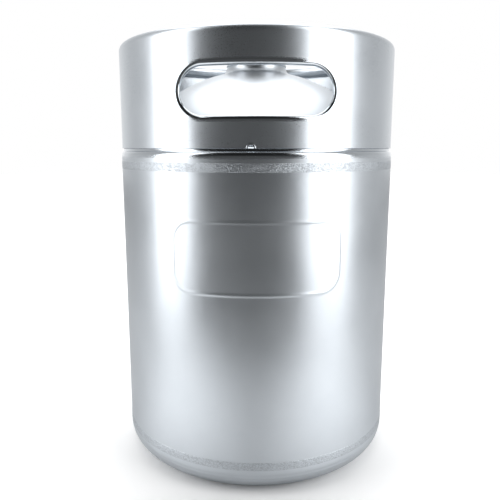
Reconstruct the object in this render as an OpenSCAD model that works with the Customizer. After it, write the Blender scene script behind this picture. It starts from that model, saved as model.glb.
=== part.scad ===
// Five-litre stainless steel beer keg with a two-slot handle collar and a screw cap.
// Millimetres. Z is up, and the origin is on the floor, on the axis of the keg.
// One handle slot faces -Y, the front, and the other faces +Y.

/* [Overall] */
// Outside diameter of the body
body_d = 174; // [140:1:220]
// Height from the floor to the foot of the handle collar
shell_h = 196.3; // [150:0.1:260]
// Height of the handle collar, from its foot to the top of its rim
collar_h = 62; // [52:0.5:90]

/* [Sheet metal] */
// Sheet thickness of the base, the body and the shoulder
body_wall = 0.8; // [0.6:0.1:1.2]
// Sheet thickness of the handle collar
collar_wall = 1.2; // [0.8:0.1:2]

/* [Base] */
// Radius of the base's outer corner
base_corner_r = 15; // [8:0.5:15.5]
// Width of the flat ring that the keg stands on
standing_w = 4; // [2:0.5:8]
// Radius where the standing ring turns up into the recess
base_turn_r = 6; // [3:0.5:10]
// Height of the recess under the base, at its middle
base_rise = 12; // [6:0.5:20]

/* [Body panel] */
// Width of the blank raised border on the front of the body
panel_w = 94; // [40:1:100]
// Height of the blank raised border
panel_h = 41; // [20:1:80]
// Corner radius of the blank raised border
panel_corner = 8; // [4:0.5:10]
// Width of the border's line
panel_line = 1.6; // [1:0.1:4]
// How far the border stands proud of the body
panel_proud = 0.3; // [0.2:0.05:0.35]
// Height of the border's middle above the floor
panel_z = 138; // [80:1:140]

/* [Welds] */
// Width of the two welds that run round the body
weld_w = 4.8; // [3:0.1:6]
// How far those welds stand proud of the sheet
weld_crown = 0.35; // [0.2:0.05:0.8]
// Height of the lower weld's middle above the floor
lower_weld_z = 18.2; // [18.2:0.1:30]
// Distance from the collar's foot down to the upper weld's middle
upper_weld_drop = 10; // [6.5:0.1:20]
// Width of the lengthwise welds in the body and in the collar
seam_w = 2.4; // [1.5:0.1:4]
// How far the body's lengthwise weld stands proud
seam_crown = 0.1; // [0.05:0.05:0.3]
// Height of the weld under the neck
neck_weld_h = 1; // [0.6:0.1:2]
// How far that weld stands proud
neck_weld_crown = 0.15; // [0.1:0.05:0.3]
// Number of short welds that hold the collar's foot
tack_count = 8; // [4:1:12]
// Arc that each short weld covers, in degrees
tack_arc = 5; // [3:1:8]
// Height of each short weld above the collar's foot
tack_h = 5; // [3:0.5:7]

/* [Shoulder] */
// Height of the groove under the collar's foot
groove_h = 2.8; // [2:0.1:4]
// Depth of that groove
groove_in = 0.8; // [0.6:0.1:1]
// Width of the ledge that the collar stands on
ledge_w = 2.2; // [2:0.1:3]
// Rise of the domed shoulder, from the ledge to the top of its curve
dome_rise = 48.7; // [35:0.1:60]
// Radius of the flare between the dome and the neck
spout_flare_r = 5; // [3:0.5:8]

/* [Collar] */
// How far the collar is set in from the body's outside
collar_inset = 0.5; // [0.3:0.1:0.7]
// Outside radius of the rolled rim
rim_r = 4.1; // [3:0.1:5.5]
// Clear width of each handle slot, measured straight across
slot_w = 80.5; // [60:0.5:100]
// Clear height of each handle slot
slot_h = 24.4; // [18:0.1:30]
// Height of each slot's lower edge above the collar's foot
slot_lift = 16.9; // [10:0.1:20]
// Thickness of the edge turned in round each slot
lip_wall = 1.2; // [0.8:0.1:2]
// How far the turned edge reaches in from the collar's outside
lip_depth = 4.6; // [3:0.1:7]
// Radius of the half-round drain notches at the collar's foot
notch_r = 1.6; // [1.5:0.1:3]
// Width of the raised lip round each notch
notch_lip_w = 1; // [0.5:0.1:1.2]
// How far that lip stands proud
notch_proud = 0.4; // [0.2:0.1:0.5]
// Turn of the notches from the middle of the slots, in degrees
notch_turn = -1.8; // [-5:0.1:5]

/* [Neck] */
// Outside diameter of the neck at its flange
neck_d = 38; // [30:0.5:50]
// Height of the neck above its weld
neck_h = 16.4; // [15.5:0.1:24]
// Height of the neck's plain flange
flange_h = 2.6; // [2:0.1:3]
// Depth from the flange's outside to the root of the thread
thread_relief = 1.5; // [1.5:0.1:2.5]
// Wall between the thread's root and the bore
neck_wall = 2; // [1.5:0.1:3]
// Pitch of the thread
thread_pitch = 3.6; // [3.6:0.1:4.2]
// Height of the thread's start above the flange, to the middle of its ridge
thread_lead = 2.2; // [2:0.1:3]
// Height of the thread's ridge above its root
thread_depth = 1.1; // [0.8:0.1:1.3]
// Turns of thread on the neck
neck_turns = 2.25; // [1.5:0.25:2.25]
// Turns of thread in the cap
cap_turns = 1.25; // [0.75:0.25:1.5]

/* [Cap] */
// Running clearance between the cap's thread and the neck's
thread_gap = 0.3; // [0.2:0.05:0.4]
// Gap between the cap's lower edge and the flange
cap_gap = 0.7; // [0.5:0.1:1.5]
// Wall of the plastic insert outside its thread
insert_wall = 1.4; // [1:0.1:2.5]
// Thickness of the insert's roof
insert_roof = 1.2; // [0.8:0.1:2]
// Sheet thickness of the steel cap
cap_wall = 0.5; // [0.4:0.1:0.8]
// Outside radius of the cap's top edge
cap_corner_r = 1.6; // [1:0.1:2]
// Thickness of the gasket
gasket_h = 1.6; // [1:0.1:3]
// Width of the gasket's ring
gasket_w = 3.4; // [2:0.1:4]
// Thickness of the steel disc in the cap
disc_h = 0.6; // [0.4:0.1:1]

/* [Hidden] */
$fn = 96;

// Clearance between pieces of the cap that are only pushed together
seat_gap = 0.05;
// Overlap that joins two solids of one piece
bite = 0.2;
// How far a cut runs past the piece that it cuts
past = 1;
// Overlap of two arcs that meet in one sheet, in degrees
joint = 0.5;

body_r = body_d / 2;
body_bore_r = body_r - body_wall;
lower_weld_bottom = lower_weld_z - weld_w / 2;
lower_weld_top = lower_weld_z + weld_w / 2;
upper_weld_z = shell_h - upper_weld_drop;
upper_weld_bottom = upper_weld_z - weld_w / 2;
upper_weld_top = upper_weld_z + weld_w / 2;

// Base: the recess is a ball's cap, tangent to the turn beside the standing ring
standing_r = body_r - base_corner_r;
turn_x = standing_r - standing_w;
recess_r = (turn_x * turn_x + base_rise * base_rise - 2 * base_turn_r * base_rise) / (2 * base_rise);
recess_z = base_rise - recess_r;
recess_slope = asin(turn_x / (recess_r + base_turn_r));

// Lengthwise seams, as angles from +X
body_seam_angle = 90;
collar_seam_angle = 32;

// Shoulder: a ball's cap from the ledge up to the flare
groove_r = body_r - groove_in;
groove_z = shell_h - groove_h;
dome_edge_r = groove_r - ledge_w;
dome_r = (dome_edge_r * dome_edge_r + dome_rise * dome_rise) / (2 * dome_rise);
dome_z = shell_h + dome_rise - dome_r;
dome_edge_angle = asin((shell_h - dome_z) / dome_r);
neck_r = neck_d / 2;
flare_x = neck_r + spout_flare_r;
flare_angle = acos(flare_x / (dome_r + spout_flare_r));
flare_z = dome_z + (dome_r + spout_flare_r) * sin(flare_angle);

// Collar
collar_r = body_r - collar_inset;
collar_bore_r = collar_r - collar_wall;
rim_z = shell_h + collar_h - rim_r;
rim_x = collar_r - rim_r;
slot_z = shell_h + slot_lift + slot_h / 2;

// Neck
neck_z = flare_z + neck_weld_h;
flange_top = neck_z + flange_h;
neck_top = neck_z + neck_h;
thread_root_r = neck_r - thread_relief;
thread_crest_r = thread_root_r + thread_depth;
mouth_r = thread_root_r - neck_wall;
thread_z = flange_top + thread_lead;
// Half the ridge's width at its root and at its crest
ridge_root = 0.95;
ridge_crest = 0.45;
// Steps to a turn of the ridge, and steps over which it fades in and out
ridge_steps = 48;
fade_steps = 6;

// Cap
cap_z = flange_top + cap_gap;
insert_bore_r = thread_crest_r + thread_gap;
insert_r = insert_bore_r + insert_wall;
gasket_z = neck_top + 2 * seat_gap;
gasket_r = thread_root_r + bite;
roof_z = gasket_z + gasket_h + seat_gap;
roof_top = roof_z + insert_roof;
cap_bore_r = insert_r + seat_gap;
cap_r = cap_bore_r + cap_wall;
cap_top = roof_top + seat_gap + cap_wall;

// ---- Shared shapes ----

// A stretch of ring between two angles that are less than half a turn apart
module ring_sector(outer, wall, from, to) {
    far = 2 * outer;
    middle = (from + to) / 2;
    intersection() {
        difference() {
            circle(outer);
            circle(outer - wall);
        }
        polygon([[0, 0], far * [cos(from), sin(from)], far * [cos(middle), sin(middle)],
            far * [cos(to), sin(to)]]);
    }
}

// An upright rectangle in the turning profile, from its inner lower to its outer upper corner
module band(r_in, z_low, r_out, z_high) {
    translate([r_in, z_low]) square([r_out - r_in, z_high - z_low]);
}

module tube(r_out, wall, z_low, z_high) {
    rotate_extrude() band(r_out - wall, z_low, r_out, z_high);
}

// A flat wedge that cuts a strip of the given width out of a wall at an angle from +X
module strip_at(angle, width, z_low, z_high) {
    rotate([0, 0, angle]) translate([body_r / 2, -width / 2, z_low])
        cube([body_r, width, z_high - z_low]);
}

// A weld that runs all the way round: as thick as the sheet, with a low rounded crown
module round_weld(r_out, wall, z_low, z_high, crown) {
    h = z_high - z_low;
    crown_r = (h * h / 4 + crown * crown) / (2 * crown);
    rotate_extrude() {
        band(r_out - wall, z_low, r_out, z_high);
        intersection() {
            translate([r_out + crown - crown_r, (z_low + z_high) / 2]) circle(crown_r);
            band(r_out - bite, z_low, r_out + crown, z_high);
        }
    }
}

// A helical ridge that fades in and out at its ends
function fade(i, n) = min(1, i / fade_steps, (n - i) / fade_steps);
module thread_ridge(root_r, crest_r, z_start, turns) {
    n = round(ridge_steps * turns);
    rings = [for (i = [0 : n])
        let (a = 360 * i / ridge_steps, z = z_start + thread_pitch * i / ridge_steps,
            r = root_r + (crest_r - root_r) * max(0.05, fade(i, n)))
        each [for (p = [[root_r, -ridge_root], [r, -ridge_crest], [r, ridge_crest], [root_r, ridge_root]])
            [p[0] * cos(a), p[0] * sin(a), z + p[1]]]];
    sides = [for (i = [0 : n - 1], k = [0 : 3])
        let (a = 4 * i + k, b = 4 * i + (k + 1) % 4)
        each [[a, b, b + 4], [a, b + 4, a + 4]]];
    caps = [[3, 2, 1], [3, 1, 0], [4 * n, 4 * n + 1, 4 * n + 2], [4 * n, 4 * n + 2, 4 * n + 3]];
    outward = crest_r > root_r;
    faces = concat(sides, caps);
    polyhedron(rings, outward ? faces : [for (f = faces) [f[2], f[1], f[0]]], convexity = 6);
}

// The outline of a handle slot, grown by a margin, as a block along Y
module slot_block(margin) {
    r = slot_h / 2 + margin;
    run = slot_w / 2 - slot_h / 2;
    translate([0, 0, slot_z]) rotate([90, 0, 0]) linear_extrude(2 * body_d, center = true) {
        for (side = [-1, 1]) translate([side * run, 0]) circle(r);
        square([2 * run, 2 * r], center = true);
    }
}

// The outline of the blank border, shrunk by an inset
module panel_outline(inset) {
    r = panel_corner - inset;
    w = panel_w / 2 - panel_corner;
    h = panel_h / 2 - panel_corner;
    for (x = [-w, w], y = [-h, h]) translate([x, y]) circle(r);
    square([2 * w, 2 * (h + r)], center = true);
    square([2 * (w + r), 2 * h], center = true);
}

// ---- Vessel ----

module base_pan() color("#b9bcbe") rotate_extrude() {
    band(body_bore_r, base_corner_r, body_r, lower_weld_bottom);
    translate([standing_r, base_corner_r]) ring_sector(base_corner_r, body_wall, 270, 360);
    band(turn_x, 0, standing_r, body_wall);
    translate([turn_x, base_turn_r]) ring_sector(base_turn_r, body_wall, 270 - recess_slope - joint, 270);
    translate([0, recess_z])
        ring_sector(recess_r + body_wall, body_wall, 90 - recess_slope, 90);
}

module lower_girth_weld() color("#8f9294")
    round_weld(body_r, body_wall, lower_weld_bottom, lower_weld_top, weld_crown);

module body_tube() color("#c3c6c8") {
    difference() {
        tube(body_r, body_wall, lower_weld_top, upper_weld_bottom);
        strip_at(body_seam_angle, seam_w, lower_weld_top - past, upper_weld_bottom + past);
    }
    intersection() {
        tube(body_r + panel_proud, panel_proud + bite, panel_z - panel_h, panel_z + panel_h);
        translate([0, 0, panel_z]) rotate([90, 0, 0]) linear_extrude(body_d) difference() {
            panel_outline(0);
            panel_outline(panel_line);
        }
    }
}

module body_seam_weld() color("#a4a7a9") intersection() {
    tube(body_r + seam_crown, body_wall + seam_crown, lower_weld_top, upper_weld_bottom);
    strip_at(body_seam_angle, seam_w, lower_weld_top, upper_weld_bottom);
}

module upper_girth_weld() color("#8f9294")
    round_weld(body_r, body_wall, upper_weld_bottom, upper_weld_top, weld_crown);

module shoulder_dome() color("#b4b7b9") rotate_extrude() {
    band(body_bore_r, upper_weld_top, body_r, groove_z);
    polygon([[body_r, groove_z], [groove_r, groove_z + groove_in], [groove_r - body_wall, groove_z + groove_in],
        [body_bore_r, groove_z]]);
    band(groove_r - body_wall, groove_z + groove_in, groove_r, shell_h);
    band(dome_edge_r - body_wall, shell_h - body_wall, groove_r, shell_h);
    translate([0, dome_z]) ring_sector(dome_r, body_wall, dome_edge_angle, flare_angle);
    translate([flare_x, flare_z])
        ring_sector(spout_flare_r + body_wall, body_wall, 180, 180 + flare_angle + joint);
}

module neck_weld() color("#8f9294")
    round_weld(neck_r, body_wall, flare_z, neck_z, neck_weld_crown);

module threaded_neck() color("#cfd2d4") {
    rotate_extrude() {
        band(mouth_r, neck_z, neck_r, flange_top);
        band(mouth_r, neck_z, thread_root_r, neck_top);
    }
    thread_ridge(thread_root_r - bite, thread_crest_r, thread_z, neck_turns);
}

// ---- Handle collar ----

module collar_profile() {
    band(collar_bore_r, shell_h, collar_r, rim_z);
    translate([rim_x, rim_z]) {
        ring_sector(rim_r, collar_wall, 0, 150);
        ring_sector(rim_r, collar_wall, 149, 290);
    }
}

module notch_at(angle, r) {
    rotate([0, 0, angle]) translate([0, 0, shell_h]) rotate([0, 90, 0]) cylinder(r = r, h = body_d);
}

module handle_collar() color("#bfc2c4") {
    difference() {
        union() {
            rotate_extrude() collar_profile();
            intersection() {
                tube(collar_r, lip_depth, shell_h, rim_z);
                slot_block(lip_wall);
            }
            for (angle = [-90, 90]) intersection() {
                notch_at(angle + notch_turn, notch_r + notch_lip_w);
                tube(collar_r + notch_proud, notch_proud + bite, shell_h, rim_z);
            }
        }
        slot_block(0);
        for (angle = [-90, 90]) notch_at(angle + notch_turn, notch_r);
        strip_at(collar_seam_angle, seam_w, shell_h - past, shell_h + collar_h + past);
    }
}

module collar_seam_weld() color("#a4a7a9") intersection() {
    rotate_extrude() collar_profile();
    strip_at(collar_seam_angle, seam_w, shell_h - past, shell_h + collar_h + past);
}

module collar_tack_welds() color("#8f9294")
    for (i = [0 : tack_count - 1]) rotate([0, 0, 360 * (i + 0.5) / tack_count - tack_arc / 2])
        rotate_extrude(angle = tack_arc) difference() {
            polygon([[dome_edge_r - tack_h, shell_h], [collar_bore_r, shell_h],
                [collar_bore_r, shell_h + tack_h], [dome_edge_r - tack_h / 2, shell_h + tack_h / 2]]);
            translate([0, dome_z]) circle(dome_r, $fn = 720);
        }

// ---- Screw cap ----

module cap_shell() color("#c9ccce") rotate_extrude() {
    band(cap_bore_r, cap_z, cap_r, cap_top - cap_corner_r);
    translate([cap_r - cap_corner_r, cap_top - cap_corner_r]) ring_sector(cap_corner_r, cap_wall, 0, 90);
    band(0, cap_top - cap_wall, cap_r - cap_corner_r, cap_top);
}

module cap_insert() color("#26282a") {
    rotate_extrude() {
        band(insert_bore_r, cap_z, insert_r, roof_z);
        difference() {
            band(0, roof_z, insert_r, roof_top);
            band(insert_r - cap_corner_r, roof_top - cap_corner_r, insert_r, roof_top);
        }
        intersection() {
            translate([insert_r - cap_corner_r, roof_top - cap_corner_r]) circle(cap_corner_r);
            band(insert_r - cap_corner_r, roof_z, insert_r, roof_top);
        }
    }
    thread_ridge(insert_bore_r + bite, thread_root_r + thread_gap, thread_z + thread_pitch / 2, cap_turns);
}

module cap_disc() color("#d5d8da")
    translate([0, 0, roof_z - disc_h]) cylinder(r = gasket_r - gasket_w - 2 * bite, h = disc_h);

module cap_gasket() color("#e9e9e4")
    tube(gasket_r, gasket_w, gasket_z, gasket_z + gasket_h);

base_pan();
lower_girth_weld();
body_tube();
body_seam_weld();
upper_girth_weld();
shoulder_dome();
neck_weld();
threaded_neck();
handle_collar();
collar_seam_weld();
collar_tack_welds();
cap_shell();
cap_insert();
cap_disc();
cap_gasket();
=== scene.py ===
"""A small stainless steel beer keg: the looks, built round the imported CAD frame. Metres, Z up."""

from math import acos, asin, ceil, copysign, cos, degrees, hypot, pi, radians, sin, sqrt

import bpy
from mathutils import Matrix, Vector, noise


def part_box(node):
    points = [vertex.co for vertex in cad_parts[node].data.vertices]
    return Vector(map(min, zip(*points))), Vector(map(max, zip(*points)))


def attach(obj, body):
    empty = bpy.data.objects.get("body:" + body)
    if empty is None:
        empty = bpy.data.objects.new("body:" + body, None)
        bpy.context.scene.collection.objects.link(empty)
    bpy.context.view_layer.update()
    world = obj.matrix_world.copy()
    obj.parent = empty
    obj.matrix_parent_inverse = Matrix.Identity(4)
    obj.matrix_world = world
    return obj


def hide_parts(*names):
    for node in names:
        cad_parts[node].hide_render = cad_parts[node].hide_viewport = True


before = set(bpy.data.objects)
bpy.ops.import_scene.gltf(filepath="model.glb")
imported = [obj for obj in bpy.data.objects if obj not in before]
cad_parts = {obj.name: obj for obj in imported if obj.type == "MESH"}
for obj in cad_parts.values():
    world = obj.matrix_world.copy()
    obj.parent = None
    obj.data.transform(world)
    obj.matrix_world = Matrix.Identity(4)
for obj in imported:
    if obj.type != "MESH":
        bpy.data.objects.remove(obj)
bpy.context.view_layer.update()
MM = 0.001
TURN = 2 * pi


# ---- Sizes, taken from the frame ----

def low(node):
    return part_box(node)[0]


def high(node):
    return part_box(node)[1]


def radius_of(node):
    return high(node).x


FOOT = low("handle_collar").z
RIM_TOP = high("handle_collar").z
BODY_LOW = low("body_tube").z
BODY_HIGH = high("body_tube").z
BODY_R = radius_of("shoulder_dome")
COLLAR_R = radius_of("handle_collar")
NECK_R = radius_of("threaded_neck")
NECK_LOW = low("threaded_neck").z
NECK_TOP = high("threaded_neck").z
WELD_CROWN = radius_of("upper_girth_weld") - BODY_R

# Sheet thicknesses, and the roll of the collar's rim
SHEET = 0.8 * MM
COLLAR_SHEET = 1.2 * MM
RIM_R = 4.1 * MM

# Handle slots: the opening, half its straight run, its middle height, and the curl of its edge
SLOT_W = 80.5 * MM
SLOT_H = 24.4 * MM
SLOT_LIFT = 16.9 * MM
SLOT_RUN = (SLOT_W - SLOT_H) / 2
SLOT_Z = FOOT + SLOT_LIFT + SLOT_H / 2
CURL_R = 2.3 * MM

# Drain notches in the collar's foot, a little off the slots' middle, and the lip round them
NOTCH_R = 1.6 * MM
NOTCH_X = COLLAR_R * sin(radians(-1.8))
LIP_RISE = 0.28 * MM
LIP_REACH = 1.1 * MM
LIP_FADE = 0.6 * MM

# Blank border pressed on the front of the body: its outline, and the line's inset and height
FRONT = 1.5 * pi
PANEL_W = 98 * MM
PANEL_H = 41 * MM
PANEL_Z = 138 * MM
PANEL_CORNER = 12 * MM
BORDER_INSET = 0.8 * MM
BORDER_HALF_W = 1.4 * MM
BORDER_RISE = 0.2 * MM

# Shoulder: the groove, the ball-shaped dome that stands on the ledge, and the flared spout
GROOVE_R = BODY_R - 0.8 * MM
DOME_R = GROOVE_R - 2.2 * MM
DOME_RISE = 48.7 * MM
BALL_R = (DOME_R ** 2 + DOME_RISE ** 2) / (2 * DOME_RISE)
BALL_Z = FOOT + DOME_RISE - BALL_R
LEDGE_SLOPE = asin((FOOT - BALL_Z) / BALL_R)
FLARE_R = 5 * MM
FLARE_X = NECK_R + FLARE_R
FLARE_SLOPE = acos(FLARE_X / (BALL_R + FLARE_R))


# ---- Camera ----

def make_camera():
    """Level with the collar's foot, close in front, tipped down and turned a little to the left."""
    distance, tip, turn = 378.2 * MM, 10.28, 0.627
    data = bpy.data.cameras.new("camera")
    data.sensor_width = 36
    data.lens = 40.4
    data.clip_start = 0.01
    camera = bpy.data.objects.new("camera", data)
    camera.location = (0, -distance, FOOT)
    camera.rotation_euler = (radians(90 - tip), 0, radians(turn))
    bpy.context.scene.collection.objects.link(camera)
    bpy.context.scene.camera = camera


make_camera()


# ---- Mesh helpers ----

def add_mesh(name, points, faces, sharp=35):
    """A smooth-shaded mesh whose edges stay sharp above an angle in degrees."""
    mesh = bpy.data.meshes.new(name)
    mesh.from_pydata([tuple(p) for p in points], [], faces)
    mesh.validate()
    mesh.shade_smooth()
    mesh.set_sharp_from_angle(angle=radians(sharp))
    piece = bpy.data.objects.new(name, mesh)
    bpy.context.scene.collection.objects.link(piece)
    return piece


def polar(r, angle, z):
    return Vector((r * cos(angle), r * sin(angle), z))


def spaced(start, stop, step):
    """Evenly spaced values from start to stop, about a step apart."""
    count = max(1, ceil(abs(stop - start) / step - 1e-9))
    return [start + (stop - start) * i / count for i in range(count + 1)]


def arc(cx, cz, r, start, stop, step=6):
    """Points on an arc in the turning profile, angles in degrees from outward."""
    return [(cx + r * cos(radians(a)), cz + r * sin(radians(a))) for a in spaced(start, stop, step)]


def ring_faces(rows, columns, closed):
    """Quads between rows of points that each go once round the axis."""
    faces = []
    for i in range(rows if closed else rows - 1):
        below, above = i * columns, (i + 1) % rows * columns
        for j in range(columns):
            k = (j + 1) % columns
            faces.append((below + j, below + k, above + k, above + j))
    return faces


def lathe(name, profile, columns=288, shape=None, closed=True, sharp=35):
    """Turns a profile of (radius, height) points, listed anticlockwise, round the axis.
    shape(radius, angle, height) gives each point's own radius. An open profile starts and ends
    on the axis."""
    inner = profile if closed else profile[1:-1]
    points = []
    for r, z in inner:
        for j in range(columns):
            angle = TURN * j / columns
            points.append(polar(shape(r, angle, z) if shape else r, angle, z))
    faces = ring_faces(len(inner), columns, closed)
    if not closed:
        last = (len(inner) - 1) * columns
        points += [Vector((0, 0, profile[0][1])), Vector((0, 0, profile[-1][1]))]
        for j in range(columns):
            k = (j + 1) % columns
            faces.append((len(points) - 2, k, j))
            faces.append((len(points) - 1, last + j, last + k))
    return add_mesh(name, points, faces, sharp)


def finish_piece(piece, node, material, body="keg"):
    """Sets a mesh on its body in place of its CAD node, and gives it its material."""
    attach(piece, body)
    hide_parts(node)
    piece.data.materials.clear()
    piece.data.materials.append(material)


# ---- Materials ----

class Nodes:
    """A small helper that adds and links shader nodes."""

    def __init__(self, name):
        self.material = bpy.data.materials.new(name)
        self.material.use_nodes = True
        self.tree = self.material.node_tree
        self.shader = self.tree.nodes["Principled BSDF"]
        self.coords = self.add("ShaderNodeTexCoord")

    def add(self, kind, **settings):
        node = self.tree.nodes.new(kind)
        for key, value in settings.items():
            setattr(node, key, value)
        return node

    def link(self, source, target):
        self.tree.links.new(source, target)

    def set(self, **values):
        for key, value in values.items():
            self.shader.inputs[key.replace("_", " ")].default_value = value

    def mapped(self, scale):
        """Object coordinates, stretched by a scale along each axis."""
        mapping = self.add("ShaderNodeMapping")
        mapping.inputs["Scale"].default_value = scale
        self.link(self.coords.outputs["Object"], mapping.inputs["Vector"])
        return mapping.outputs["Vector"]

    def noise(self, scale, detail=3, roughness=0.55, vector=None):
        """Noise with about this many features per metre."""
        node = self.add("ShaderNodeTexNoise")
        node.inputs["Scale"].default_value = scale
        node.inputs["Detail"].default_value = detail
        node.inputs["Roughness"].default_value = roughness
        self.link(vector or self.coords.outputs["Object"], node.inputs["Vector"])
        return node.outputs["Fac"]

    def math(self, operation, first, second=None):
        """One step of arithmetic on one or two values, which may be plain numbers."""
        node = self.add("ShaderNodeMath", operation=operation)
        for socket, value in zip(node.inputs, (first, second)):
            if isinstance(value, (int, float)):
                socket.default_value = value
            elif value is not None:
                self.link(value, socket)
        return node.outputs[0]

    def spread(self, value, to_low, to_high, from_low=0.3, from_high=0.7):
        """Maps a value from one range to another. Noise lies mostly between 0.3 and 0.7."""
        node = self.add("ShaderNodeMapRange")
        for key, number in (("From Min", from_low), ("From Max", from_high),
                            ("To Min", to_low), ("To Max", to_high)):
            node.inputs[key].default_value = number
        self.link(value, node.inputs["Value"])
        return node.outputs["Result"]

    def tint(self, value, dark, light):
        """Base colour that goes from dark to light as the value goes from 0 to 1."""
        node = self.add("ShaderNodeMix", data_type="RGBA")
        node.inputs[6].default_value = (*dark, 1)
        node.inputs[7].default_value = (*light, 1)
        self.link(value, node.inputs["Factor"])
        self.link(node.outputs[2], self.shader.inputs["Base Color"])

    def bump(self, layers):
        """Stacks (height, strength, distance) layers into one normal."""
        last = None
        for height, strength, distance in layers:
            node = self.add("ShaderNodeBump")
            node.inputs["Strength"].default_value = strength
            node.inputs["Distance"].default_value = distance
            self.link(height, node.inputs["Height"])
            if last:
                self.link(last, node.inputs["Normal"])
            last = node.outputs["Normal"]
        self.link(last, self.shader.inputs["Normal"])


def near_slot(m):
    """1 on the edges curled in round the handle slots, fading to 0 on the plain collar."""
    edge, fade = SLOT_H / 2 + CURL_R, 1.5 * MM
    split = m.add("ShaderNodeSeparateXYZ")
    m.link(m.coords.outputs["Object"], split.inputs[0])
    past_run = m.math("SUBTRACT", m.math("ABSOLUTE", split.outputs["X"]), SLOT_RUN)
    across = m.math("MAXIMUM", past_run, 0)
    up = m.math("SUBTRACT", split.outputs["Z"], SLOT_Z)
    square = m.math("ADD", m.math("MULTIPLY", across, across), m.math("MULTIPLY", up, up))
    return m.spread(m.math("SQRT", square), 1, 0, edge, edge + fade)


def near_shoulder(m):
    """1 on the bend just under the collar, fading to 0 on the plain body and on the dome."""
    half, fade = 2 * MM, 2 * MM
    split = m.add("ShaderNodeSeparateXYZ")
    m.link(m.coords.outputs["Object"], split.inputs[0])
    away = m.math("ABSOLUTE", m.math("SUBTRACT", split.outputs["Z"], FOOT - half))
    return m.spread(away, 1, 0, half, half + fade)


def satin_steel(name, rough, grain, bent):
    """Fine-blasted stainless sheet: an even grain, faint clouding, slow waves in the sheet, and a
    smoother face where it was bent over a tool. bent(nodes) is 1 there and 0 elsewhere."""
    m = Nodes(name)
    m.set(Metallic=1.0)
    clouds = m.noise(28, 4)
    fine = m.noise(2600, 2, 0.7)
    waves = m.noise(14, 2, 0.4, m.mapped((1, 1, 0.45)))
    m.tint(m.spread(clouds, 0, 1), STEEL_DARK, STEEL_LIGHT)
    plain = m.math("ADD", m.spread(clouds, rough - 0.02, rough + 0.02), m.spread(fine, -0.03, 0.03))
    share = m.spread(bent(m), 1, 0.4, 0, 1)
    m.link(m.math("MULTIPLY", plain, share), m.shader.inputs["Roughness"])
    m.bump([(waves, 0.12, 0.002), (fine, grain, 0.00012)])
    return m.material


def weld_steel():
    """Dressed weld: nearly the sheet's own colour, with fine dark squiggles where it froze."""
    m = Nodes("weld_steel")
    m.set(Metallic=1.0)
    flow = m.noise(620, 2, 0.5, m.mapped((1, 1, 1.4)))
    ridges = m.spread(m.math("ABSOLUTE", m.math("SUBTRACT", flow, 0.5)), 0, 1, 0, 0.07)
    m.tint(ridges, (0.43, 0.46, 0.49), (0.59, 0.63, 0.67))
    m.link(m.spread(m.noise(160, 2), 0.34, 0.44), m.shader.inputs["Roughness"])
    m.bump([(ridges, 0.5, 0.00015), (m.noise(1500, 2), 0.15, 0.0001)])
    return m.material


def turned_steel():
    """Bright turned steel with fine rings round the axis."""
    m = Nodes("turned_steel")
    m.set(Metallic=1.0)
    rings = m.add("ShaderNodeTexWave", wave_type="RINGS", rings_direction="Z")
    rings.inputs["Scale"].default_value = 900
    rings.inputs["Distortion"].default_value = 1.5
    rings.inputs["Detail"].default_value = 2
    m.link(m.coords.outputs["Object"], rings.inputs["Vector"])
    clouds = m.noise(60, 3)
    m.tint(m.spread(clouds, 0, 1), (0.60, 0.61, 0.62), (0.70, 0.71, 0.72))
    m.link(m.spread(clouds, 0.16, 0.26), m.shader.inputs["Roughness"])
    m.bump([(rings.outputs["Fac"], 0.12, 0.0002), (m.noise(1800, 2), 0.06, 0.0001)])
    return m.material


def moulded_plastic():
    """Black moulded polypropylene with a fine spark-eroded grain."""
    m = Nodes("moulded_plastic")
    grain = m.noise(1500, 3, 0.6)
    m.tint(m.spread(m.noise(90, 2), 0, 1), (0.022, 0.023, 0.025), (0.04, 0.041, 0.043))
    m.link(m.spread(grain, 0.42, 0.56), m.shader.inputs["Roughness"])
    m.bump([(grain, 0.3, 0.00015)])
    return m.material


def clear_silicone():
    """Milky silicone rubber, slightly cloudy, with a soft sheen."""
    m = Nodes("silicone_rubber")
    m.set(Subsurface_Weight=0.25, Subsurface_Scale=0.002)
    m.tint(m.spread(m.noise(200, 3), 0, 1), (0.68, 0.68, 0.65), (0.80, 0.80, 0.77))
    m.link(m.spread(m.noise(900, 2), 0.38, 0.52), m.shader.inputs["Roughness"])
    m.bump([(m.noise(1300, 2), 0.15, 0.0001)])
    return m.material


STEEL_DARK = (0.60, 0.64, 0.68)
STEEL_LIGHT = (0.64, 0.68, 0.72)
SATIN = satin_steel("satin_steel", 0.35, 0.20, near_shoulder)
COLLAR_STEEL = satin_steel("collar_steel", 0.30, 0.12, near_slot)
WELD = weld_steel()
TURNED = turned_steel()
PLASTIC = moulded_plastic()
SILICONE = clear_silicone()


# ---- Vessel ----

def rounded_rectangle(x, z, half_w, half_h, corner):
    """Signed distance from a point to a round-cornered rectangle round the origin."""
    dx, dz = abs(x) - half_w + corner, abs(z) - half_h + corner
    return hypot(max(dx, 0), max(dz, 0)) + min(max(dx, dz), 0) - corner


def smooth_step(t):
    """Eases from 0 to 1 as t goes from 0 to 1, and stays flat past both ends."""
    t = min(1, max(0, t))
    return t * t * (3 - 2 * t)


def blank_border(angle, z):
    """Height of the pressed border line on the front of the body; it frames an empty panel."""
    across = (angle - FRONT) * BODY_R
    line = rounded_rectangle(across, z - PANEL_Z, PANEL_W / 2, PANEL_H / 2, PANEL_CORNER)
    return BORDER_RISE * (1 - smooth_step(abs(line + BORDER_INSET) / BORDER_HALF_W))


def sheet_waves(angle, z):
    """Slow unevenness of rolled sheet, a few hundredths of a millimetre."""
    height, spacing, waves_round = 0.03 * MM, 60 * MM, 3
    place = Vector((waves_round * cos(angle), waves_round * sin(angle), z / spacing))
    return height * noise.noise(place)


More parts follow.
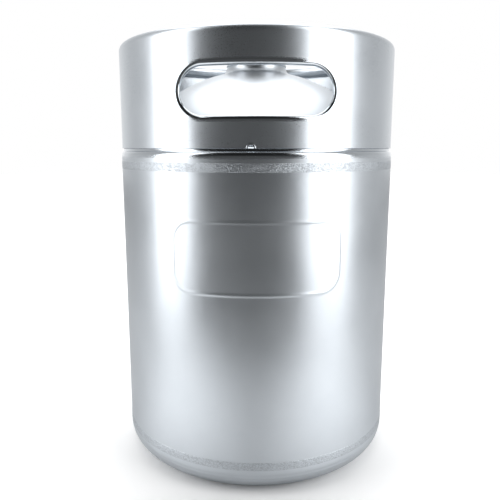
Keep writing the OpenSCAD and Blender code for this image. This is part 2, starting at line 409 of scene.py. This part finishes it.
def body_tube():
    """The straight body, with points packed close round the blank border."""
    fine_turn, coarse_turn = radians(0.35), radians(1.5)
    fine_rise, coarse_rise = 0.5 * MM, 2.5 * MM
    half = radians(34)
    margin = 3 * MM
    angles = spaced(FRONT - half, FRONT + half, fine_turn)[:-1]
    angles += spaced(FRONT + half, FRONT + TURN - half, coarse_turn)[:-1]
    panel_low, panel_high = PANEL_Z - PANEL_H / 2 - margin, PANEL_Z + PANEL_H / 2 + margin
    heights = spaced(BODY_LOW, panel_low, coarse_rise)[:-1]
    heights += spaced(panel_low, panel_high, fine_rise)[:-1]
    heights += spaced(panel_high, BODY_HIGH, coarse_rise)
    points = []
    for z in heights:
        for angle in angles:
            r = BODY_R + blank_border(angle, z) + sheet_waves(angle, z)
            points.append(polar(r, angle, z))
    for z in (BODY_HIGH, BODY_LOW):
        points += [polar(BODY_R - SHEET, angle, z) for angle in angles]
    faces = ring_faces(len(heights) + 2, len(angles), closed=True)
    return add_mesh("body_sheet", points, faces)


# Small pits in the lower weld: turn from the front in degrees, and place across it from -1 to 1
PITS = ((4.2, -0.35), (7.4, -0.2), (30.5, 0.1), (-33, -0.5), (-52, 0.2), (118, 0.3), (201, -0.1))
PIT_R = 0.5 * MM
PIT_DEPTH = 0.3 * MM


def bead(angle, across, seed):
    """Share of the full crown at a place across a weld, from -1 to 1: flat in the middle, with
    a fine raised line along each edge and a faint ripple."""
    crown_share, edge_share, ripple_share = 0.30, 0.14, 0.10
    edge_place, ripples_round, ripples_across = 0.86, 45, 1.6
    crown = crown_share * (1 - across ** 4)
    edge = edge_share * (1 - smooth_step(abs(abs(across) - edge_place) / (1 - edge_place)))
    place = Vector((cos(angle) * ripples_round, sin(angle) * ripples_round,
                    across * ripples_across + seed))
    return crown + edge + ripple_share * noise.noise(place)


def pit_depth(angle, across, half):
    """Depth of the nearest pit, as a length."""
    depth = 0
    for turn, place in PITS:
        along = (angle - FRONT - radians(turn)) * BODY_R
        away = hypot(along, (across - place) * half)
        depth = max(depth, PIT_DEPTH * (1 - smooth_step(away / PIT_R)))
    return depth


def girth_weld(name, node, seed, pitted=False):
    """A dressed weld round the body. The seed makes its ripple its own."""
    z_low, z_high = low(node).z, high(node).z
    middle, half = (z_low + z_high) / 2, (z_high - z_low) / 2
    angles = spaced(0.5 * pi, 2.5 * pi, radians(0.2))[:-1]
    places = spaced(-1, 1, 0.125)
    points = []
    for across in places:
        for angle in angles:
            lift = WELD_CROWN * min(1, bead(angle, across, seed))
            lift -= pit_depth(angle, across, half) if pitted else 0
            points.append(polar(BODY_R + lift, angle, middle + across * half))
    for z in (z_high, z_low):
        points += [polar(BODY_R - SHEET, angle, z) for angle in angles]
    return add_mesh(name, points, ring_faces(len(places) + 2, len(angles), closed=True), sharp=60)


def draw_line(z):
    """Change in radius from the faint rings that the press left round the base's corner."""
    depth, spacing = 0.09 * MM, 2.6 * MM
    z_low, z_high, fade = 2 * MM, 14 * MM, 2 * MM
    share = smooth_step((z - z_low) / fade) * smooth_step((z_high - z) / fade)
    return -depth * share * (0.5 - 0.5 * cos(TURN * z / spacing))


def base_pan():
    """Pressed bottom: rounded corner, standing ring and a domed recess."""
    corner, turn, rise, flat = 15 * MM, 6 * MM, 12 * MM, 4 * MM
    stand = BODY_R - corner
    inner = stand - flat
    recess = (inner ** 2 + rise ** 2 - 2 * turn * rise) / (2 * rise)
    slope = degrees(asin(inner / (recess + turn)))
    under = arc(0, rise - recess, recess, 90, 90 - slope, 1)
    under += arc(inner, turn, turn, 270 - slope, 270, 4)
    under += [(r + draw_line(z), z) for r, z in arc(stand, corner, corner, 270, 360, 1)]
    top = low("lower_girth_weld").z
    inside = arc(stand, corner, corner - SHEET, 360, 270, 5)
    inside += arc(inner, turn, turn - SHEET, 270, 270 - slope, 5)
    inside += arc(0, rise - recess, recess + SHEET, 90 - slope, 90, 2)
    under[0] = (0, under[0][1])
    inside[-1] = (0, inside[-1][1])
    profile = under + [(BODY_R, top), (BODY_R - SHEET, top)] + inside
    return lathe("base_sheet", profile, closed=False)


def shoulder_dome():
    """Domed top with the groove and ledge under the collar, drawn up into a short spout."""
    bend, bend_below, edge_r = 3.5 * MM, 4.3 * MM, 0.3 * MM
    groove_low, wall_top = FOOT - 2.8 * MM, FOOT - 5 * MM
    bottom = high("upper_girth_weld").z
    step_r = GROOVE_R - 0.45 * MM
    bend_turn = degrees(acos(1 - (BODY_R - step_r) / bend))
    ledge, spout = degrees(LEDGE_SLOPE), degrees(FLARE_SLOPE)
    flare_z = BALL_Z + (BALL_R + FLARE_R) * sin(FLARE_SLOPE)
    outside = [(BODY_R, bottom)]
    outside += arc(BODY_R - bend, FOOT - bend_below, bend, 0, bend_turn, 4)
    outside += [(step_r, FOOT - edge_r)]
    outside += arc(step_r - edge_r, FOOT - edge_r, edge_r, 0, 90, 30)[1:]
    outside += [(DOME_R + 0.6 * MM, FOOT)]
    outside += arc(0, BALL_Z, BALL_R, ledge + 0.4, spout, 1)
    outside += arc(FLARE_X, flare_z, FLARE_R, 180 + spout, 180, 5)
    inside = arc(FLARE_X, flare_z, FLARE_R + SHEET, 180, 180 + spout, 8)
    inside += arc(0, BALL_Z, BALL_R - SHEET, spout, ledge, 3)
    inside += [(step_r - SHEET, FOOT - SHEET), (step_r - SHEET, groove_low)]
    inside += [(BODY_R - SHEET, wall_top), (BODY_R - SHEET, bottom)]
    return lathe("shoulder_sheet", outside + inside, columns=360, sharp=50)


def neck_weld():
    """The thin fused ring between the spout and the neck."""
    crown, ripple, ripple_count = 0.15 * MM, 0.04 * MM, 150
    z_low, z_high = low("neck_weld").z, high("neck_weld").z
    middle, half = (z_low + z_high) / 2, (z_high - z_low) / 2
    profile = [(NECK_R - SHEET, z_low)]
    profile += [(NECK_R + crown * (1 - t * t), middle + t * half) for t in spaced(-1, 1, 0.25)]
    profile += [(NECK_R - SHEET, z_high)]

    def ripples(r, angle, z):
        return r + ripple * sin(ripple_count * angle) if r > NECK_R else r
    return lathe("neck_weld_bead", profile, columns=720, shape=ripples, sharp=50)


# ---- Threads ----

# The neck's thread runs from above its flange, and the cap's thread fits it with a clearance
PITCH = 3.6 * MM
FLANGE_TOP = NECK_LOW + 2.6 * MM
THREAD_ROOT = NECK_R - 1.5 * MM
THREAD_DEPTH = 1.1 * MM
THREAD_GAP = 0.3 * MM
THREAD_START = FLANGE_TOP + 2.2 * MM
THREAD_ROW = 0.16 * MM
NECK_TURNS = 2.25
CAP_TURNS = 1.25
SAME_R = 1e-7


def ridge(angle, z, start, turns):
    """Share of the thread's depth at a place: 1 on the crest and 0 at the root."""
    root_half, crest_half, fade_turns = 0.95 * MM, 0.45 * MM, 0.12
    count = (z - start) / PITCH - angle / TURN
    turn = min(max(round(count), 0), int(turns))
    along = min(max(turn + angle / TURN, 0), turns)
    fade = smooth_step(min(along, turns - along) / fade_turns)
    gap = abs(z - start - PITCH * along)
    return fade * smooth_step((root_half - gap) / (root_half - crest_half))


def threaded_neck():
    """Machined neck: a plain flange, the external thread, and a rounded lip round the mouth."""
    bore = THREAD_ROOT - 2 * MM
    lip, flange_edge, root_r = 0.7 * MM, 0.4 * MM, 0.3 * MM
    profile = [(bore, NECK_LOW), (NECK_R, NECK_LOW), (NECK_R, FLANGE_TOP - flange_edge)]
    profile += arc(NECK_R - flange_edge, FLANGE_TOP - flange_edge, flange_edge, 0, 90, 30)
    profile += [(THREAD_ROOT + root_r, FLANGE_TOP), (THREAD_ROOT, FLANGE_TOP + root_r)]
    profile += [(THREAD_ROOT, z) for z in spaced(FLANGE_TOP + 0.5 * MM, NECK_TOP - lip, THREAD_ROW)]
    profile += arc(THREAD_ROOT - lip, NECK_TOP - lip, lip, 0, 90, 15)
    profile += arc(bore + lip, NECK_TOP - lip, lip, 90, 180, 15)

    def threaded(r, angle, z):
        on_wall = abs(r - THREAD_ROOT) < SAME_R and z > FLANGE_TOP
        return r + THREAD_DEPTH * ridge(angle, z, THREAD_START, NECK_TURNS) if on_wall else r
    return lathe("neck_turned", profile, columns=240, shape=threaded, sharp=50)


# ---- Welds along the seams, and the tacks ----

def seam_weld(name, angle, z_low, z_high, r_out, sheet):
    """A straight weld up a rolled sheet: a shallow rippled crown on the outside. It is a hair
    thicker than the sheet."""
    crown_rise, ripple_share, ripple_spacing, ripple_sag = 0.09 * MM, 0.35, 0.9 * MM, 0.6
    half = asin(2.4 * MM / 2 / r_out)
    back_r = r_out - sheet * 1.05
    rows = spaced(z_low, z_high, 0.4 * MM)
    columns = spaced(-1, 1, 0.25)
    points, faces = [], []
    for z in rows:
        for t in columns:
            ripple = sin(TURN * (z / ripple_spacing - ripple_sag * t * t))
            crown = crown_rise * (1 - t * t) * (1 + ripple_share * ripple)
            points.append(polar(r_out + crown, angle + half * t, z))
        points.append(polar(back_r, angle + half, z))
        points.append(polar(back_r, angle - half, z))
    n = len(columns) + 2
    for i in range(len(rows) - 1):
        for j in range(n):
            k = (j + 1) % n
            faces.append((i * n + j, i * n + k, (i + 1) * n + k, (i + 1) * n + j))
    last = (len(rows) - 1) * n
    faces.append(tuple(reversed(range(n))))
    faces.append(tuple(range(last, last + n)))
    return add_mesh(name, points, faces, sharp=50)


def tack_section(t):
    """Points round a tack weld's section, as (radius, height), at a place along it from -1 to 1."""
    end_share, ripple_share, ripple_turns = 0.02, 0.07, 3.75
    size = sqrt(max(end_share, 1 - t ** 4)) * (1 + ripple_share * sin(TURN * ripple_turns * t))
    leg, inward = 4.6 * MM * size, 4.2 * MM * size
    wall = COLLAR_R - COLLAR_SHEET
    slope = LEDGE_SLOPE + inward / BALL_R
    toe_r, toe_z = BALL_R * cos(slope), BALL_Z + BALL_R * sin(slope)
    crest_z = FOOT + leg + 0.4 * MM
    section = [(wall, FOOT + 0.05 * MM)]
    for u in spaced(0, 1, 1 / 8):
        sag = 0.5 * MM * size * sin(pi * u)
        section.append((wall + (toe_r - wall) * u - 0.3 * sag,
                        crest_z + (toe_z - crest_z) * u - 0.6 * sag))
    return section


def tack_welds():
    """Eight short fillet welds in the corner between the dome and the collar's foot."""
    count, half = 8, radians(2.5)
    places = spaced(-1, 1, 0.1)
    points, faces = [], []
    for tack in range(count):
        middle = TURN * (tack + 0.5) / count
        start = len(points)
        for t in places:
            section = tack_section(t)
            points += [polar(r, middle + half * t, z) for r, z in section]
        n = len(section)
        for i in range(len(places) - 1):
            for j in range(n):
                k = (j + 1) % n
                a, b = start + i * n, start + (i + 1) * n
                faces.append((a + j, b + j, b + k, a + k))
        faces.append(tuple(range(start, start + n)))
        faces.append(tuple(reversed(range(len(points) - n, len(points)))))
    return add_mesh("tack_beads", points, faces, sharp=50)


# ---- Handle collar ----

def slot_reach(x):
    """Half the height, at a place across a slot, of the outline where its edge starts to curl
    in. It is 0 outside the slot."""
    r = SLOT_H / 2 + CURL_R
    beyond = max(0, abs(x) - SLOT_RUN)
    return sqrt(max(0, r * r - beyond * beyond))


def collar_columns():
    """Places across one half of the collar, as angles from the slot's middle: close together
    at the drain notch and at the slot's round ends."""
    coarse, fine, margin = 1.4 * MM, 0.2 * MM, 3.4 * MM
    r = SLOT_H / 2 + CURL_R
    xs = spaced(-SLOT_RUN, NOTCH_X - margin, coarse)[:-1]
    xs += spaced(NOTCH_X - margin, NOTCH_X + margin, fine)[:-1]
    xs += spaced(NOTCH_X + margin, SLOT_RUN, coarse)
    ends = [SLOT_RUN + r * sin(radians(a)) for a in spaced(0, 90, 4)[1:]]
    xs = [-x for x in reversed(ends)] + xs + ends
    tilts = [asin(x / COLLAR_R) for x in xs]
    side = spaced(tilts[-1], pi + tilts[0], radians(1.0))[1:-1]
    return tilts, side


def notch_height(x):
    """Height of the collar's lower edge over the drain notch."""
    across = x - NOTCH_X
    return sqrt(max(0, NOTCH_R ** 2 - across ** 2))


def notch_lip(x, z):
    """Height of the raised lip round the drain notch."""
    away = hypot(x - NOTCH_X, z - FOOT) - NOTCH_R
    return LIP_RISE * smooth_step((LIP_REACH - away) / LIP_FADE)


def collar_mesh():
    """The rolled collar: two slots with edges curled in, a rolled rim, and two drain notches."""
    tilts, side = collar_columns()
    columns = []
    for facing in (-1, 1):
        base = facing * pi / 2
        columns += [(base + t, facing, COLLAR_R * sin(t)) for t in tilts]
        columns += [(base + t, facing, None) for t in side]
    rim_z = RIM_TOP - RIM_R
    hair, foot_step, foot_rows = 0.01 * MM, 0.3 * MM, 14
    points, faces = [], []

    def place(angle, r, z):
        points.append(polar(r + sheet_waves(angle + 5, z), angle, z))
        return len(points) - 1

    def wall(r, with_lip):
        """One skin of the wall. Returns, for each column, the numbers of its points below the
        slot and of its points above it, both from the foot's side up. The rows are packed close
        at the foot. A column that misses the slot shares the point where the two meet."""
        result = []
        for angle, facing, x in columns:
            reach = slot_reach(x) if x is not None else 0
            foot = FOOT + (notch_height(x) if x is not None else 0)
            near = [foot + h * foot_step for h in range(foot_rows)]
            slot_low, slot_high = SLOT_Z - reach, SLOT_Z + reach
            lower = near + spaced(near[-1], slot_low, hair + (slot_low - near[-1]) / 10)[1:]
            upper = spaced(slot_high, rim_z, hair + (rim_z - slot_high) / 9)
            lower_ids = []
            for z in lower:
                lift = notch_lip(x, z) if with_lip and x is not None else 0
                lower_ids.append(place(angle, r + lift, z))
            if reach < hair:
                upper_ids = [lower_ids[-1]] + [place(angle, r, z) for z in upper[1:]]
            else:
                upper_ids = [place(angle, r, z) for z in upper]
            result.append((lower_ids, upper_ids))
        return result

    outer, inner = wall(COLLAR_R, True), wall(COLLAR_R - COLLAR_SHEET, False)
    n = len(columns)

    def strip(a, b, flip):
        for i in range(len(a) - 1):
            quad = (a[i], b[i], b[i + 1], a[i + 1])
            faces.append(tuple(reversed(quad)) if flip else quad)

    for j in range(n):
        k = (j + 1) % n
        for skin, flip in ((outer, False), (inner, True)):
            strip(skin[j][0], skin[k][0], flip)
            strip(skin[j][1], skin[k][1], flip)
        faces.append((inner[j][0][0], inner[k][0][0], outer[k][0][0], outer[j][0][0]))

    # The rolled rim joins the two skins over the top
    rim_x = COLLAR_R - RIM_R
    roll = arc(rim_x, rim_z, RIM_R, 0, 290, 10)[1:]
    roll += arc(rim_x, rim_z, RIM_R - COLLAR_SHEET, 290, 0, 14)[:-1]
    rows = [[o[1][-1] for o in outer]]
    for r, z in roll:
        rows.append([place(c[0], r, z) for c in columns])
    rows.append([i[1][-1] for i in inner])
    for a, b in zip(rows, rows[1:]):
        for j in range(n):
            k = (j + 1) % n
            faces.append((a[j], a[k], b[k], b[j]))

    # The slots' edges: a curl that starts in the outer skin and ends behind the inner one
    for facing in (-1, 1):
        span = [j for j in range(n) if columns[j][1] == facing and columns[j][2] is not None]
        outline = [(columns[j][2], -1) for j in span]
        outline += [(columns[j][2], 1) for j in reversed(span[1:-1])]
        first = [outer[j][0][-1] for j in span] + [outer[j][1][0] for j in reversed(span[1:-1])]
        last = [inner[j][0][-1] for j in span] + [inner[j][1][0] for j in reversed(span[1:-1])]
        faces += curl(points, outline, first, last, facing)
    return add_mesh("collar_sheet", points, faces, sharp=40)


def curl(points, outline, first, last, facing):
    """Adds the curled edge of one slot and returns its faces. It rolls in from the outer skin
    through most of half a turn, and its inside runs back to the inner skin. The outline lists
    places across the slot, each with -1 for its lower edge or 1 for its upper edge."""
    end = 155
    path = [(CURL_R, a) for a in spaced(0, end, 11)[1:]]
    path += [(CURL_R - COLLAR_SHEET / 2, end + 8)]
    path += [(CURL_R - COLLAR_SHEET, a) for a in spaced(end, 0, 20)[:-1]]
    rings = [first]
    for r, roll in path:
        inset, depth = CURL_R - r * sin(radians(roll)), CURL_R - r * cos(radians(roll))
        ring = []
        for x, edge in outline:
            tilt = asin(min(1, max(0, abs(x) - SLOT_RUN) / (SLOT_H / 2 + CURL_R)))
            across, up = copysign(sin(tilt), x), cos(tilt) * edge
            px = x - across * (CURL_R - inset)
            pz = SLOT_Z + up * (SLOT_H / 2 + inset)
            py = facing * (sqrt(COLLAR_R ** 2 - px ** 2) - depth)
            points.append(Vector((-facing * px, py, pz)))
            ring.append(len(points) - 1)
        rings.append(ring)
    rings.append(last)
    faces = []
    count = len(outline)
    for a, b in zip(rings, rings[1:]):
        for j in range(count):
            k = (j + 1) % count
            faces.append((a[k], a[j], b[j], b[k]))
    return faces


# ---- Screw cap ----

CAP_LOW = low("cap_shell").z
CAP_TOP = high("cap_shell").z
CAP_R = radius_of("cap_shell")


def cap_shell():
    """Spun steel cap with a ribbed grip round its side and a shallow dished top."""
    sheet, corner, hem, fade = 0.5 * MM, 1.6 * MM, 0.35 * MM, 0.8 * MM
    rib_depth, rib_count = 0.28 * MM, 60
    grip_low, grip_high = CAP_LOW + 2.2 * MM, CAP_TOP - 3.0 * MM
    inside = [(0, CAP_TOP - sheet), (CAP_R - corner, CAP_TOP - sheet)]
    inside += arc(CAP_R - corner, CAP_TOP - corner, corner - sheet, 90, 0, 15)[1:]
    inside += [(CAP_R - sheet, CAP_LOW + hem)]
    outside = arc(CAP_R - sheet / 2, CAP_LOW + sheet / 2, sheet / 2, 180, 360, 30)
    outside += [(CAP_R, z) for z in spaced(CAP_LOW + 0.6 * MM, CAP_TOP - corner, 0.35 * MM)]
    outside += arc(CAP_R - corner, CAP_TOP - corner, corner, 0, 90, 8)[1:]
    # The dished top: radius and depth in millimetres, from its rim to its middle
    dish = [(17.6, 0), (17.2, 0.05), (16.8, 0.2), (16.4, 0.25), (8, 0.25), (0, 0.25)]
    outside += [(r * MM, CAP_TOP - depth * MM) for r, depth in dish]

    def ribbed(r, angle, z):
        if abs(r - CAP_R) > SAME_R:
            return r
        share = smooth_step((z - grip_low) / fade) * smooth_step((grip_high - z) / fade)
        return r - rib_depth * share * (0.5 + 0.5 * cos(rib_count * angle)) ** 2
    return lathe("cap_spun", inside + outside, columns=720, shape=ribbed, closed=False, sharp=50)


def cap_insert():
    """Moulded insert: a cup with the internal thread, under a flat roof."""
    corner, mouth = 1.6 * MM, 0.4 * MM
    roof, top = high("cap_disc").z, high("cap_insert").z
    outer_r = radius_of("cap_insert")
    bore = THREAD_ROOT + THREAD_DEPTH + THREAD_GAP
    depth = bore - (THREAD_ROOT + THREAD_GAP)
    start = THREAD_START + PITCH / 2
    profile = [(0, roof)] + [(bore, z) for z in spaced(roof, CAP_LOW + mouth, THREAD_ROW)]
    profile += arc(bore + mouth, CAP_LOW + mouth, mouth, 180, 270, 30)[1:]
    profile += [(outer_r, CAP_LOW), (outer_r, top - corner)]
    profile += arc(outer_r - corner, top - corner, corner, 0, 90, 15)[1:]
    profile += [(0, top)]

    def threaded(r, angle, z):
        return r - depth * ridge(angle, z, start, CAP_TURNS) if abs(r - bore) < SAME_R else r
    return lathe("insert_moulded", profile, columns=240, shape=threaded, closed=False, sharp=50)


def cap_disc():
    """Thin steel disc that faces the beer, with its middle pressed up a little."""
    edge, raised = 0.2 * MM, 0.15 * MM
    z_low, z_high, r = low("cap_disc").z, high("cap_disc").z, radius_of("cap_disc")
    profile = [(0, z_low + raised), (r * 0.55, z_low + raised), (r * 0.62, z_low)]
    profile += arc(r - edge, z_low + edge, edge, 270, 360, 30)
    profile += [(r, z_high), (0, z_high)]
    return lathe("disc_pressed", profile, columns=192, closed=False, sharp=40)


def cap_gasket():
    """Flat silicone ring with rounded corners and a fine groove in its sealing face."""
    z_low, z_high, r = low("cap_gasket").z, high("cap_gasket").z, radius_of("cap_gasket")
    edge, groove = 0.35 * MM, 0.15 * MM
    inner = r - 3.4 * MM
    profile = arc(inner + edge, z_low + edge, edge, 180, 270, 30)
    profile += [(inner + 1.2 * MM, z_low), (inner + 1.5 * MM, z_low + groove)]
    profile += [(inner + 1.9 * MM, z_low + groove), (inner + 2.2 * MM, z_low)]
    profile += arc(r - edge, z_low + edge, edge, 270, 360, 30)
    profile += arc(r - edge, z_high - edge, edge, 0, 90, 30)
    profile += arc(inner + edge, z_high - edge, edge, 90, 180, 30)
    return lathe("gasket_ring", profile, columns=192, sharp=50)


# ---- Put the pieces in their places ----

# The body's seam is at the middle of the back, and the collar's is between its two slots
BODY_SEAM = pi / 2
COLLAR_SEAM = radians(32)

finish_piece(body_tube(), "body_tube", SATIN)
finish_piece(base_pan(), "base_pan", SATIN)
finish_piece(shoulder_dome(), "shoulder_dome", SATIN)
finish_piece(collar_mesh(), "handle_collar", COLLAR_STEEL)
lower_weld = girth_weld("lower_weld_bead", "lower_girth_weld", 3.7, pitted=True)
finish_piece(lower_weld, "lower_girth_weld", WELD)
upper_weld = girth_weld("upper_weld_bead", "upper_girth_weld", 8.2)
finish_piece(upper_weld, "upper_girth_weld", WELD)
finish_piece(neck_weld(), "neck_weld", WELD)
body_seam = seam_weld("body_seam_bead", BODY_SEAM, BODY_LOW, BODY_HIGH, BODY_R, SHEET)
finish_piece(body_seam, "body_seam_weld", WELD)
collar_seam = seam_weld("collar_seam_bead", COLLAR_SEAM, FOOT, RIM_TOP - RIM_R, COLLAR_R, COLLAR_SHEET)
finish_piece(collar_seam, "collar_seam_weld", WELD)
finish_piece(tack_welds(), "collar_tack_welds", WELD)
finish_piece(threaded_neck(), "threaded_neck", TURNED)
finish_piece(cap_shell(), "cap_shell", TURNED, "cap")
finish_piece(cap_insert(), "cap_insert", PLASTIC, "cap")
finish_piece(cap_disc(), "cap_disc", TURNED, "cap")
finish_piece(cap_gasket(), "cap_gasket", SILICONE, "seal")


# ---- Floor, lamps and world ----

# The floor ends at FLOOR_FRONT, beside the camera. It has one colour for the camera and one for
# what the keg reflects, and a painted pool of light at each side, in front of the softboxes: a glowing
# patch of floor with no lamp there
FLOOR_R = 2.5
FLOOR_FRONT = -0.29
FLOOR_MIDDLE = FLOOR_FRONT + FLOOR_R
FLOOR_COLOUR = (0.62, 0.62, 0.62)
FLOOR_SEEN = (0.93, 0.93, 0.93)
FLOOR_GLOW = 0.7
# Painted pool of light: how strongly the floor glows at each side of the keg, and where; every ray but
# the camera's sees it
PAINTED_POOL_GLOW = 0.65
PAINTED_POOL_X = 0.16
PAINTED_POOL_Y = -0.15

SOFTBOX_DISTANCE = 0.55
SOFTBOX_TALL = 0.9
SOFTBOX_STRENGTH = 3.0

# Radiance of the room from the camera's side round to the back, by the direction's Y
ROOM = ((-0.45, 0.015), (-0.05, 0.42), (0.20, 0.52), (0.50, 0.58), (0.80, 0.85), (0.95, 1.05))

# Radiance that the room adds at the horizon, and the direction's Z at which it has faded
HAZE = 0.08
HAZE_TOP = 0.4


def distance_on_floor(m, place, x, y):
    """Distance of a place on the floor from the spot x, y. Place and spot are measured as
    absolute values from the floor's middle, so that both sides of the keg are alike."""
    spot = m.add("ShaderNodeVectorMath", operation="DISTANCE")
    spot.inputs[1].default_value = (x, FLOOR_MIDDLE - y, 0)
    m.link(place, spot.inputs[0])
    return spot.outputs["Value"]


def make_floor():
    """Pale floor. The camera sees it paler, and paler still away from the keg, so that
    it meets the white background and keeps the shadow. For every other ray it glows in a painted pool
    of light at each side of the keg."""
    m = Nodes("floor")
    m.set(Roughness=0.9, Specular_IOR_Level=0.2)
    path = m.add("ShaderNodeLightPath")
    m.tint(path.outputs["Is Camera Ray"], FLOOR_COLOUR, FLOOR_SEEN)
    half = m.add("ShaderNodeVectorMath", operation="ABSOLUTE")
    m.link(m.coords.outputs["Object"], half.inputs[0])
    place = half.outputs["Vector"]
    seen = m.spread(distance_on_floor(m, place, 0, -0.1), 0, FLOOR_GLOW, 0.02, 0.38)
    # Painted pool of light: emission near each side of the keg, which the keg reflects and is lit by
    painted_pool = m.spread(distance_on_floor(m, place, PAINTED_POOL_X, PAINTED_POOL_Y), PAINTED_POOL_GLOW, 0, 0.04, 0.155)
    glow = m.add("ShaderNodeMix")
    m.link(path.outputs["Is Camera Ray"], glow.inputs["Factor"])
    m.link(painted_pool, glow.inputs[2])
    m.link(seen, glow.inputs[3])
    m.shader.inputs["Emission Color"].default_value = (1, 1, 1, 1)
    m.link(glow.outputs[0], m.shader.inputs["Emission Strength"])
    bpy.ops.mesh.primitive_circle_add(vertices=128, radius=FLOOR_R, fill_type="NGON")
    floor = bpy.context.object
    floor.name = "floor"
    floor.location.y = FLOOR_MIDDLE
    floor.data.materials.append(m.material)


def softbox(name, azimuth, distance, height, width, tall, strength):
    """An upright lamp facing the keg's axis. Azimuth is from the front, positive to the right."""
    data = bpy.data.lights.new(name, "AREA")
    data.shape = "RECTANGLE"
    data.size, data.size_y = width, tall
    data.energy = strength * pi * width * tall
    lamp = bpy.data.objects.new(name, data)
    a = radians(azimuth)
    lamp.location = (distance * sin(a), -distance * cos(a), height)
    lamp.rotation_euler = (radians(90), 0, a)
    lamp.visible_camera = False
    bpy.context.scene.collection.objects.link(lamp)
    return lamp


def overhead(height, front, back, width, strength):
    """A wide lamp above, from just in front of the keg to well behind it."""
    lamp = softbox("overhead", 0, 0, height, width, back - front, strength)
    lamp.location.y = (front + back) / 2
    lamp.rotation_euler = (0, 0, 0)


def make_world():
    """White seen directly. As light it is a pale studio with a dark side where the camera is."""
    world = bpy.data.worlds.new("studio")
    bpy.context.scene.world = world
    world.use_nodes = True
    tree = world.node_tree
    coords = tree.nodes.new("ShaderNodeTexCoord")
    split = tree.nodes.new("ShaderNodeSeparateXYZ")
    tree.links.new(coords.outputs["Generated"], split.inputs[0])
    share = tree.nodes.new("ShaderNodeMapRange")
    share.inputs["From Min"].default_value = -1
    tree.links.new(split.outputs["Y"], share.inputs["Value"])
    room = tree.nodes.new("ShaderNodeValToRGB")
    room.color_ramp.interpolation = "EASE"
    stops = room.color_ramp.elements
    while len(stops) < len(ROOM):
        stops.new(0.5)
    for stop, (y, level) in zip(stops, ROOM):
        stop.position = (y + 1) / 2
        stop.color = (level, level, level, 1)
    tree.links.new(share.outputs["Result"], room.inputs["Fac"])
    haze = tree.nodes.new("ShaderNodeMapRange")
    for key, number in (("From Min", 0), ("From Max", HAZE_TOP), ("To Min", HAZE), ("To Max", 0)):
        haze.inputs[key].default_value = number
    tree.links.new(split.outputs["Z"], haze.inputs["Value"])
    total = tree.nodes.new("ShaderNodeVectorMath")
    tree.links.new(room.outputs["Color"], total.inputs[0])
    tree.links.new(haze.outputs["Result"], total.inputs[1])
    path = tree.nodes.new("ShaderNodeLightPath")
    pick = tree.nodes.new("ShaderNodeMix")
    pick.data_type = "RGBA"
    tree.links.new(path.outputs["Is Camera Ray"], pick.inputs["Factor"])
    tree.links.new(total.outputs["Vector"], pick.inputs[6])
    pick.inputs[7].default_value = (1, 1, 1, 1)
    tree.links.new(pick.outputs[2], tree.nodes["Background"].inputs["Color"])


make_floor()
make_world()
softbox("left_softbox", -65.6, SOFTBOX_DISTANCE, SOFTBOX_TALL / 2, 0.30, SOFTBOX_TALL, SOFTBOX_STRENGTH)
softbox("right_softbox", 55.5, SOFTBOX_DISTANCE, SOFTBOX_TALL / 2, 0.36, SOFTBOX_TALL, SOFTBOX_STRENGTH)
overhead(height=1.5, front=-0.25, back=1.35, width=1.6, strength=1.8)

scene = bpy.context.scene
scene.view_settings.view_transform = "Standard"
